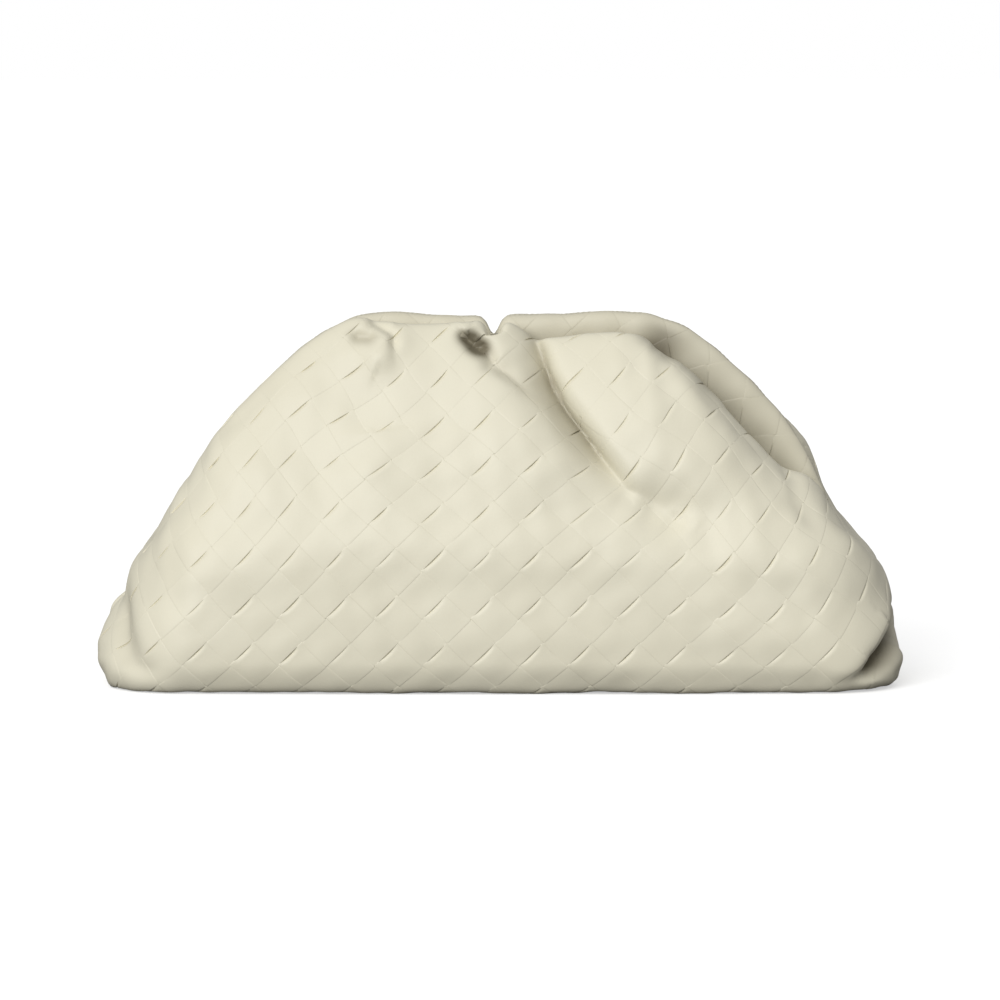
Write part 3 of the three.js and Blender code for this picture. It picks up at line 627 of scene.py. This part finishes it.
def turn_weave(u, v):
    """Flat points, turned round each place of the table, less the farther off they are."""
    for place_u, place_v, reach, degrees in zip(*TURNS.values()):
        to_u, to_v = u - place_u, v - place_v
        angle = math.radians(degrees) * np.exp(-(to_u**2 + to_v**2) / reach**2)
        c, s = np.cos(angle), np.sin(angle)
        u, v = place_u + c * to_u - s * to_v, place_v + s * to_u + c * to_v
    return u, v


def from_flat(u, v):
    """Station and way along of flat points, and how far they lie outside the leather."""
    u, v = turn_weave(u, v)
    found = [side.find(u, np.abs(v)) for side in (flat_front, flat_back)]
    is_front = v >= 0
    along, station, past_seam, past_top = (np.where(is_front, f, b) for f, b in zip(*found))
    return along, station, is_front, past_seam, past_top


print("Places where the weave turns:", len(TURNS["u"]))

# %% [markdown]
# ## The strips
# The strips are 16 mm wide and cross over and under one by one, at 45 degrees. A strip shows where it
# passes over, as a square that is a little domed, and its two ends dive under the strips that cross
# it. Each of these squares is a small grid of points, longer than what shows of it, so that its ends
# are hidden, with thin sides that show the cut edge. A bump texture could draw the weave, but it
# would have no outline and no shadow in the slits.

# %% The weave
strip_pitch, strip_gap, strip_thick = 16.2, 0.1, 0.9
# One square's middle lies here, a little left of the front's middle and just below its fattest height.
weave_u0 = -2.4
weave_v0 = float(np.interp(fattest_station, flat_stations, flat_table(True)[middle_row])) - 2.0
# How high a square's face lies, how much it is domed, and how deep its hidden ends go, in mm.
face_height, dome, hidden_end = -0.12, 0.1, 0.8
# How far past a square's half its ends begin to dive and are down, at a soft end and at a slit.
soft_from, soft_to, slit_from, slit_to = 0.25, 1.6, -1.8, 0.9
# How deep the slits go on the body and on the lips, and how much a square is tilted.
body_slit, lip_slit, square_tilt = 1.3, 0.8, 0.035
# How deep and how wide a groove a seam pulls into the leather.
seam_groove, seam_groove_reach = 1.3, 1.8
cut_edge_paleness = 0.6
# How much the tint of the strips, and of the squares of one strip, differs.
strip_tint, square_tint = 0.07, 0.04
random = np.random.default_rng(7)
# Where the rows and columns of a square's points lie, in mm from its middle and as shares.
long_steps = np.array([0, 1.4, 2.8, 4.1, 5.3, 6.2, 6.9, 7.5, 8.0, 8.5, 9.3, 10.3])
long_steps = np.concatenate([-long_steps[:0:-1], long_steps])
wide_steps = np.array([-1, -0.95, -0.83, -0.64, -0.43, -0.22, 0, 0.22, 0.43, 0.64, 0.83, 0.95, 1])


def hash_tint(k):
    """A number from -1 to 1 that is always the same for the same strip."""
    return np.sin(k * 12.9898 + 4.1) * 43758.5453 % 1 * 2 - 1


def weave_cells(u_low, u_high, v_low, v_high):
    """Middles of the squares, which strip passes over in each, and the numbers of its two strips."""
    g = strip_pitch / math.sqrt(2)
    reach = int((u_high - u_low + v_high - v_low) / g) + 4
    m, n = np.meshgrid(np.arange(-reach, reach), np.arange(-reach, reach), indexing="ij")
    m, n = m.ravel(), n.ravel()
    u, v = weave_u0 + (m + n) * g, weave_v0 + (n - m) * g
    inside = (u > u_low) & (u < u_high) & (v > v_low) & (v < v_high)
    m, n, u, v = m[inside], n[inside], u[inside], v[inside]
    falling = (m + n) % 2 == 0
    return u, v, falling, np.where(falling, n, m + 1000)


wave_count, wide_waves = 24, 12
waves = random.normal(size=(wave_count, 2))
waves /= np.linalg.norm(waves, axis=1, keepdims=True)
wave_starts = random.uniform(0, 2 * math.pi, wave_count)


def unevenness(u, v):
    """Soft swells of the hide, in mm: wide ones 38 to 60 mm apart and small ones 14 to 20 mm."""
    total = np.zeros(u.shape)
    for i, (way, start) in enumerate(zip(waves, wave_starts)):
        apart, tall = (38 + 2 * i, 0.14) if i < wide_waves else (14 + 0.5 * (i - wide_waves), 0.045)
        total += tall * np.sin(2 * math.pi / apart * (u * way[0] + v * way[1]) + start)
    return total


def strip_squares(cells, place, slit_depth):
    """Points, quads and marks of the squares. place(u, v) gives points, outward ways, how much
    painted shade each point takes and how far it is from the leather's own edge."""
    u0, v0, falling, strip = cells
    count = len(u0)
    t, w = np.meshgrid(long_steps, wide_steps, indexing="ij")
    # No two strips are cut and pulled just alike, so each square draws its own small differences.
    half_wide = (strip_pitch - strip_gap) / 2 + random.uniform(-0.1, 0.1, count)[:, None, None]
    root = 1 / math.sqrt(2)
    down = np.where(falling, -1, 1)[:, None, None]
    over_strip = w * half_wide + random.uniform(-0.12, 0.12, (count, 1, 1))
    u = u0[:, None, None] + root * (t - down * over_strip)
    v = v0[:, None, None] + root * (down * t + over_strip)
    points, out, painted_shade, from_edge = place(u, v)
    # A square is nearly flat. Both its ends dive under the strips that cross it. The upper end of a
    # falling strip goes through a slit, which stands open in its middle.
    past = np.abs(t) - strip_pitch / 2
    soft_end = hidden_end * smooth_step(soft_from, soft_to, past)
    middle = random.uniform(-0.12, 0.12, (count, 1, 1))
    lens = np.clip(1 - np.abs((w - middle) / random.uniform(0.62, 0.84, (count, 1, 1))) ** 2.5, 0, 1)
    slit_end = soft_end + slit_depth * lens * smooth_step(slit_from, slit_to, past)
    slit = falling[:, None, None] & (t < 0)
    depth = random.uniform(0.55, 1.15, (count, 1, 1))
    dive = np.where(slit, slit_end * depth, soft_end)
    side_drop = 0.06 * np.abs(w) ** 6
    tilt = random.uniform(-square_tilt, square_tilt, (2, count, 1, 1))
    height = face_height + dome * (1 - w**2) * (1 - (t / 9) ** 2) - side_drop - dive
    height = height + tilt[0] * w + tilt[1] * t / 8 + unevenness(u, v)
    height = height - seam_groove * np.exp(-((from_edge / seam_groove_reach) ** 2))
    top = points + out * height[..., None]
    # The thin sides of the square, which show the cut edge of the leather.
    sides = []
    for column, turn in ((0, 1), (-1, -1)):
        edge_points, edge_out = points[:, :, column], out[:, :, column]
        inward = points[:, :, column + turn] - edge_points
        inward /= np.maximum(np.linalg.norm(inward, axis=-1, keepdims=True), 1e-6)
        edge_height = height[:, :, column][..., None]
        sides.append([edge_points + edge_out * (edge_height - down_by) - inward * out_by
                      for down_by, out_by in ((0.06, 0.04), (0.3, 0.06), (strip_thick, 0.03))])
    left = np.stack(sides[0][::-1], axis=2)
    right = np.stack(sides[1], axis=2)
    all_points = np.concatenate([left, top, right], axis=2)
    rows, columns = all_points.shape[1:3]
    one = grid_quads(rows, columns)
    quads = (one[None] + (np.arange(count) * rows * columns)[:, None, None]).reshape(-1, 4)
    cut = np.zeros((count, rows, columns))
    cut[:, :, :2] = cut[:, :, -2:] = cut_edge_paleness
    tint = strip_tint * hash_tint(strip) + random.uniform(-square_tint, square_tint, count)
    tint = np.broadcast_to(tint[:, None, None], cut.shape)
    painted_shade = np.concatenate([painted_shade[:, :, :1]] * 3 + [painted_shade] + [painted_shade[:, :, -1:]] * 3, axis=2)
    # Painted shade: inside a dark fold the cut edges lose their paleness too.
    cut = cut * (1 - painted_shade)
    return all_points, quads, dict(tint=tint, cut_edge=cut, painted_shade=painted_shade)


print("Squares of the weave are", strip_pitch, "mm wide")

# %% [markdown]
# ## Which way is out
# The squares are laid a little above and below the folded wall, so each point needs the wall's way
# out, folds included. Two slopes of the wall, one along and one up, give it. Blender's own normals
# would come from a mesh, and here there is none yet.

# %% Outward ways of the folded wall
def folded_wall(along, station, front, inset):
    """Points of the folded wall and its true outward ways."""
    here, plain_out, painted_shade = wall_point(along, station, front, inset)
    step = 0.003
    a_low, a_high = np.clip(along - step, -1, 1), np.clip(along + step, -1, 1)
    s_low, s_high = np.clip(station - step, 0, 1), np.clip(station + step, 0, 1)
    # At a seam the wall of one side ends, so the slope there is taken a little way in.
    inner = np.clip(along, -0.995, 0.995)
    across = wall_point(a_high, station, front, inset)[0] - wall_point(a_low, station, front, inset)[0]
    upward = wall_point(inner, s_high, front, inset)[0] - wall_point(inner, s_low, front, inset)[0]
    out = np.cross(across, upward)
    out = np.where(front[..., None], out, -out)
    size = np.linalg.norm(out, axis=-1, keepdims=True)
    out = np.where(size > 1e-6, out / np.maximum(size, 1e-9), plain_out)
    out = np.where((station <= 0.004)[..., None], np.array([0.0, 0.0, -1.0]), out)
    return here, out, painted_shade


def on_the_wall(u, v):
    """What strip_squares asks for, on the body."""
    along, station, is_front, past_seam, _ = from_flat(u, v)
    points, out, painted_shade = folded_wall(along, station, is_front, np.zeros(u.shape))
    return points, out, painted_shade, np.maximum(-past_seam, 0)


front_middle = on_the_wall(np.array([0.0]), np.array([flat_front.top[middle_row] / 2]))[1][0]
print("Way out halfway up the front:", front_middle.round(2).tolist())

# %% [markdown]
# ## Weaving the body
# The front and the back are one woven piece in the real bag. Here its squares are put in four
# meshes, only to keep each mesh light. Squares that would lie past a seam or past the sewn edge are
# left out.

# %% Body strips
flat_reach_u, flat_reach_v = 260.0, 330.0
cells = weave_cells(-flat_reach_u, flat_reach_u, -flat_reach_v, flat_reach_v)
_, _, cell_front, past_seam, past_top = from_flat(cells[0], cells[1])
# A square stays if its middle is less than these lengths past the seam and past the sewn edge.
seam_allowance, edge_allowance = 0.45 * strip_pitch, 0.3 * strip_pitch
kept = (past_seam < seam_allowance) & (past_top < edge_allowance)
body_pieces = []
left_cell = cells[0] < 0
quarters = dict(
    woven_front_left=cell_front & left_cell, woven_front_right=cell_front & ~left_cell,
    woven_back_left=~cell_front & left_cell, woven_back_right=~cell_front & ~left_cell,
)
for name, quarter in quarters.items():
    mine = quarter & kept
    points, quads, marks = strip_squares([c[mine] for c in cells], on_the_wall, body_slit)
    body_pieces.append(add_piece(name, points, quads, strip_leather, marks))
print("Squares on the body:", int(kept.sum()))

# %% [markdown]
# ## The backing
# Behind the strips lies a backing of thin split leather, which closes the slits and is the inside of
# the bag. It is one closed shell: an outer face just under the strips, an inner face, and the edge
# between them along the mouth.

# %% Backing shell
backing_outer = 1.75
shell_rows, shell_half = 90, 110


def shell_face(inset):
    """Rings of points round the bag, from the middle of the base up to the sewn edge, and how
    much painted shade the folds put on them."""
    stations = np.linspace(0, 1, shell_rows + 1)
    turn = np.linspace(-1, 1, shell_half + 1)
    along = np.concatenate([turn[:-1], -turn[:-1]])
    front = np.concatenate([np.ones(shell_half, bool), np.zeros(shell_half, bool)])
    s, a = np.meshgrid(stations, along, indexing="ij")
    points, _, painted_shade = wall_point(a, s, np.broadcast_to(front, a.shape), np.full(a.shape, inset))
    return points, painted_shade


(outer_face, outer_painted_shade), (inner_face, inner_painted_shade) = shell_face(backing_outer), shell_face(wall)
ring = 2 * shell_half
face_quads = grid_quads(shell_rows + 1, ring, closed=True)
inner_quads = face_quads[:, ::-1] + outer_face.shape[0] * ring
top = shell_rows * ring + np.arange(ring)
next_top = shell_rows * ring + (np.arange(ring) + 1) % ring
shift = outer_face.shape[0] * ring
rim_quads = np.stack([top, next_top, next_top + shift, top + shift], -1)
backing = add_piece("backing", np.concatenate([outer_face.reshape(-1, 3), inner_face.reshape(-1, 3)]),
                    np.concatenate([face_quads, inner_quads, rim_quads]), backing_leather_and_slit_shade,
                    dict(painted_shade=np.concatenate([outer_painted_shade.ravel(), inner_painted_shade.ravel()])))

# %% [markdown]
# ## The lips of the frame
# Each half of the frame is a flat steel bow in a soft sleeve of the same woven leather. Here it is a
# rounded core with the same strips laid round it. The strips follow the bow, so the flat coordinates
# are the way along the bow and the way round its section.

# %% Lip surface
def lip_surface(across, angle, front):
    """Points of a lip and their outward ways, in mm."""
    def point(a, g):
        c, s = np.cos(g), np.sin(g)
        inset = lip_height / 2 * (1 - np.sign(c) * np.abs(c) ** (2 / lip_roundness))
        y = lip_gap / 2 + lip_thickness / 2 * (1 + np.sign(s) * np.abs(s) ** (2 / lip_roundness))
        x = a * (mouth_half_width - inset)
        edge = 1 - inset / lip_height
        dip = pinch_depth * np.exp(-(np.abs((x - pinch_at) / pinch_half_width) ** 1.5)) * edge
        return np.stack([x, -y if front else y, arch_height(a, inset) - dip], -1)

    here = point(across, angle)
    out = unit(np.cross(point(across + 0.004, angle) - point(across - 0.004, angle),
                        point(across, angle + 0.03) - point(across, angle - 0.03)))
    middle = point(across, 0 * angle) / 2 + point(across, 0 * angle + math.pi) / 2
    away = ((here - middle) * out).sum(-1, keepdims=True)
    return here, np.where(away < 0, -out, out)


bow_shares = np.linspace(-lip_end, lip_end, 801)
bow = np.stack([bow_shares * (mouth_half_width - lip_height / 2),
                arch_height(bow_shares, lip_height / 2)], -1)
bow_lengths = np.concatenate([[0], np.cumsum(np.linalg.norm(np.diff(bow, axis=0), axis=1))])
bow_lengths -= bow_lengths[-1] / 2
section_angles = np.linspace(-math.pi, math.pi, 721)
section_points = lip_surface(np.zeros(section_angles.shape), section_angles, True)[0]
section_lengths = np.concatenate(
    [[0], np.cumsum(np.linalg.norm(np.diff(section_points, axis=0), axis=1))])
section_lengths -= section_lengths[-1] / 2
print("Way round a lip:", round(float(section_lengths[-1] * 2), 1), "mm, along it:",
      round(float(bow_lengths[-1] * 2), 1), "mm")

# %% [markdown]
# ## Wrapping the lips
# The strips are laid on the lips by the same function as on the body, with another surface under
# them. The core closes the gaps between them, in the darker backing colour that paints the shade
# there. The wrap could be one smooth sleeve with a texture, but from above the lips are what one
# sees first.

# %% Lip strips and cores
# The front lip is painted darkest, as shade, behind the body's right-hand crest, this far along the bow
# from its middle.
lip_pocket_at, lip_pocket_reach = 76.0, 9.0
lip_over_end, core_inset = 4.0, 1.5
core_rows, core_sides = 160, 24
lip_pieces = []
for name, front, node_name in (("front_lip_wrap", True, "front_lip"),
                               ("rear_lip_wrap", False, "rear_lip")):
    def on_the_lip(u, v):
        across = np.interp(u, bow_lengths, bow_shares)
        angle = np.interp(v, section_lengths, section_angles)
        points, out = lip_surface(across, angle, front)
        # Painted shade: the lips are a little darker all over, darker down their side towards the body, and
        # darkest in the pocket behind the crest.
        down = (1 - np.cos(angle)) / 2
        painted_lip_shade = 0.25 + 0.32 * smooth_step(0.15, 0.6, down)
        if front:
            pocket = np.exp(-(((u - lip_pocket_at) / lip_pocket_reach) ** 2))
            painted_lip_shade += 0.5 * pocket * smooth_step(0.02, 0.3, down)
        return points, out, painted_lip_shade, np.maximum(bow_lengths[-1] - np.abs(u), 0)

    u_end, v_end = bow_lengths[-1], section_lengths[-1]
    lip_cells = weave_cells(-u_end - lip_over_end, u_end + lip_over_end, -v_end, v_end)
    points, quads, marks = strip_squares(lip_cells, on_the_lip, lip_slit)
    wrap = add_piece(name, points, quads, strip_leather, marks)
    core_shares = np.interp(np.linspace(-u_end, u_end, core_rows), bow_lengths, bow_shares)
    core_angles = np.linspace(0, 2 * math.pi, core_sides + 1)[:-1]
    across, angle = np.meshgrid(core_shares, core_angles, indexing="ij")
    core_points, core_out = lip_surface(across, angle, front)
    core_points = core_points - core_out * core_inset
    core_quads = grid_quads(core_rows, core_sides, closed=True)
    # Each end is closed by a ladder of quads across its ring of points.
    caps = [[base + i, base + i + 1, base + core_sides - 2 - i, base + core_sides - 1 - i]
            for base in (0, (core_rows - 1) * core_sides) for i in range(core_sides // 2 - 1)]
    core = add_piece(name.replace("wrap", "core"), core_points,
                     np.concatenate([core_quads, np.array(caps)]), backing_leather_and_slit_shade)
    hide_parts(node_name)
    lip_pieces += [wrap, core]

# %% [markdown]
# ## Turning the faces outward
# Grids that run the other way round face inward. Blender can work out which way is out of a closed
# shell, so the backing and the cores are handed to it, and nothing has to be turned by hand.

# %% Face outward
import bmesh

for piece in (backing, *lip_pieces[1::2]):
    shape = bmesh.new()
    shape.from_mesh(piece.data)
    bmesh.ops.recalc_face_normals(shape, faces=shape.faces)
    shape.to_mesh(piece.data)
    # A volume above zero means that the faces look outward.
    print(piece.name, "encloses", round(shape.calc_volume(signed=True) * 1e6, 1), "ml")
    shape.free()
    piece.data.update()

# %% [markdown]
# ## The hinge pins
# The two hidden pins stay as the part has them, in satin stainless steel: turned, then rubbed, so
# that its fine scratches blur what it mirrors. Their meshes are right as they are, and only the
# material is new.

# %% Pin steel
steel = bpy.data.materials.new("satin_stainless_steel")
steel.use_nodes = True
steel_tree = steel.node_tree
steel_shader = steel_tree.nodes["Principled BSDF"]
steel_shader.inputs["Metallic"].default_value = 1.0
brushed = node(steel_tree, "ShaderNodeTexNoise", Scale=1 / (0.4 * MM), Detail=2.0,
               Vector=node(steel_tree, "ShaderNodeTexCoord").outputs["Object"])
steel_colour = node(steel_tree, "ShaderNodeMix", dict(data_type="RGBA"),
                    input0=brushed.outputs["Fac"], input6=linear("#B9B6AE"), input7=linear("#CFCCC4"))
steel_tree.links.new(steel_colour.outputs[2], steel_shader.inputs["Base Color"])
steel_rough = node(steel_tree, "ShaderNodeMapRange", Value=brushed.outputs["Fac"], To_Min=0.28,
                   To_Max=0.42)
steel_tree.links.new(steel_rough.outputs[0], steel_shader.inputs["Roughness"])
for node_name in ("left_hinge_pin", "right_hinge_pin"):
    pin = frame["nodes"][node_name]
    pin.data.materials.clear()
    pin.data.materials.append(steel)
print("Pins in", steel.name)

# %% [markdown]
# ## Fixing the pieces to the part
# Every piece rides on the part's one body, and the solid that it stands for is hidden.

# %% Ride and replace
for piece in (*body_pieces, backing, *lip_pieces):
    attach(piece, "root")
for piece in (*body_pieces, backing):
    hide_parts("woven_body")
for piece in lip_pieces:
    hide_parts("front_lip" if piece.name.startswith("front") else "rear_lip")
print("Pieces fixed to the part:", len(body_pieces) + 1 + len(lip_pieces))

# %% [markdown]
# ## Floor
# The photograph is a plain studio picture on white, so the floor is pale, plain and wide enough to
# reach the horizon. It could be cut away in an image editor, but then the bag would stand on nothing.

# %% Floor
floor_reach = 30
floor_corners = [(x * floor_reach, y * floor_reach, 0) for x, y in ((-1, -1), (1, -1), (1, 1), (-1, 1))]
floor_mesh = bpy.data.meshes.new("floor")
floor_mesh.from_pydata(floor_corners, [], [(0, 1, 2, 3)])
floor = put_in_scene("floor", floor_mesh)
floor_paint = bpy.data.materials.new("matt_white_floor")
floor_paint.use_nodes = True
floor_tree = floor_paint.node_tree
floor_shader = floor_tree.nodes["Principled BSDF"]
floor_shader.inputs["Base Color"].default_value = linear("#F2F2F2")
floor_shader.inputs["Roughness"].default_value = 0.9
# The photographed bag gets little light from below, so the floor throws back less than it shows.
dim_floor = node(floor_tree, "ShaderNodeBsdfDiffuse", Color=linear("#7A7A7A"))
floor_ray = node(floor_tree, "ShaderNodeLightPath").outputs["Is Camera Ray"]
# Cut-outs are photographed on a glowing white table. Only the camera sees this glow.
glow = node(floor_tree, "ShaderNodeEmission", Color=(1, 1, 1, 1), Strength=0.5)
glowing = node(floor_tree, "ShaderNodeAddShader", input0=floor_shader.outputs[0],
               input1=glow.outputs[0])
floor_mix = node(floor_tree, "ShaderNodeMixShader", input0=floor_ray, input1=dim_floor.outputs[0],
                 input2=glowing.outputs[0])
floor_tree.links.new(floor_mix.outputs[0], floor_tree.nodes["Material Output"].inputs["Surface"])
floor_mesh.materials.append(floor_paint)
print("The floor is", 2 * floor_reach, "m wide")

# %% [markdown]
# ## Light
# The photographed bag is lit softly from the front, a little from the left and above, with hardly a
# shadow. A sun lamp as wide as a big softbox does that, and pale surroundings fill the shadows. An
# area lamp would do too, but its light falls off across the bag.

# %% Light
sun = bpy.data.lights.new("key_light", "SUN")
sun.energy, sun.angle = 2.3, math.radians(40)
key_light = put_in_scene("key_light", sun)
key_light.rotation_euler = Vector((0.33, 0.85, -0.38)).to_track_quat("-Z", "Y").to_euler()
world = bpy.data.worlds.new("studio")
bpy.context.scene.world = world
world.use_nodes = True
world_tree = world.node_tree
seen = world_tree.nodes["Background"]
seen.inputs["Color"].default_value = (1, 1, 1, 1)
seen.inputs["Strength"].default_value = 1.0
lighting = node(world_tree, "ShaderNodeBackground", Color=(1, 1, 1, 1), Strength=0.4)
ray = node(world_tree, "ShaderNodeLightPath").outputs["Is Camera Ray"]
either = node(world_tree, "ShaderNodeMixShader", input0=ray, input1=lighting.outputs[0],
              input2=seen.outputs[0])
world_tree.links.new(either.outputs[0], world_tree.nodes["World Output"].inputs["Surface"])
bpy.context.scene.view_settings.view_transform = "Standard"
print("Key light:", round(sun.energy, 2), "with fill:", round(lighting.inputs["Strength"].default_value, 2))

# %% [markdown]
# ## Camera
# The photograph was taken from afar, only just above the bag. The bag's real width over its width in
# the picture gives the scale, and the scale with the distance gives the lens.

# %% Camera
metres_per_pixel = 0.4869 * MM
camera_distance, camera_elevation = 2.6, math.radians(5)
# The scale holds about where the bag is widest, this far behind the aim.
scale_plane_behind = 0.03
# The camera aims at the bag's front, this many pixels above the base.
aim_forward, aim_above_base = -35 * MM, 186
back_way = Vector((0, -math.cos(camera_elevation), math.sin(camera_elevation)))
up_way = Vector((0, math.sin(camera_elevation), math.cos(camera_elevation)))
camera_data = bpy.data.cameras.new("camera")
camera = put_in_scene("camera", camera_data)
bpy.context.scene.camera = camera
aim = Vector((0, aim_forward, 0)) + up_way * aim_above_base * metres_per_pixel
camera.location = aim + back_way * camera_distance
camera.rotation_euler = (-back_way).to_track_quat("-Z", "Y").to_euler()
camera_data.sensor_width = 36
picture_width = 1000
camera_data.lens = camera_data.sensor_width * (camera_distance + scale_plane_behind) / (
    picture_width * metres_per_pixel)
print("Lens:", round(camera_data.lens, 1), "mm")
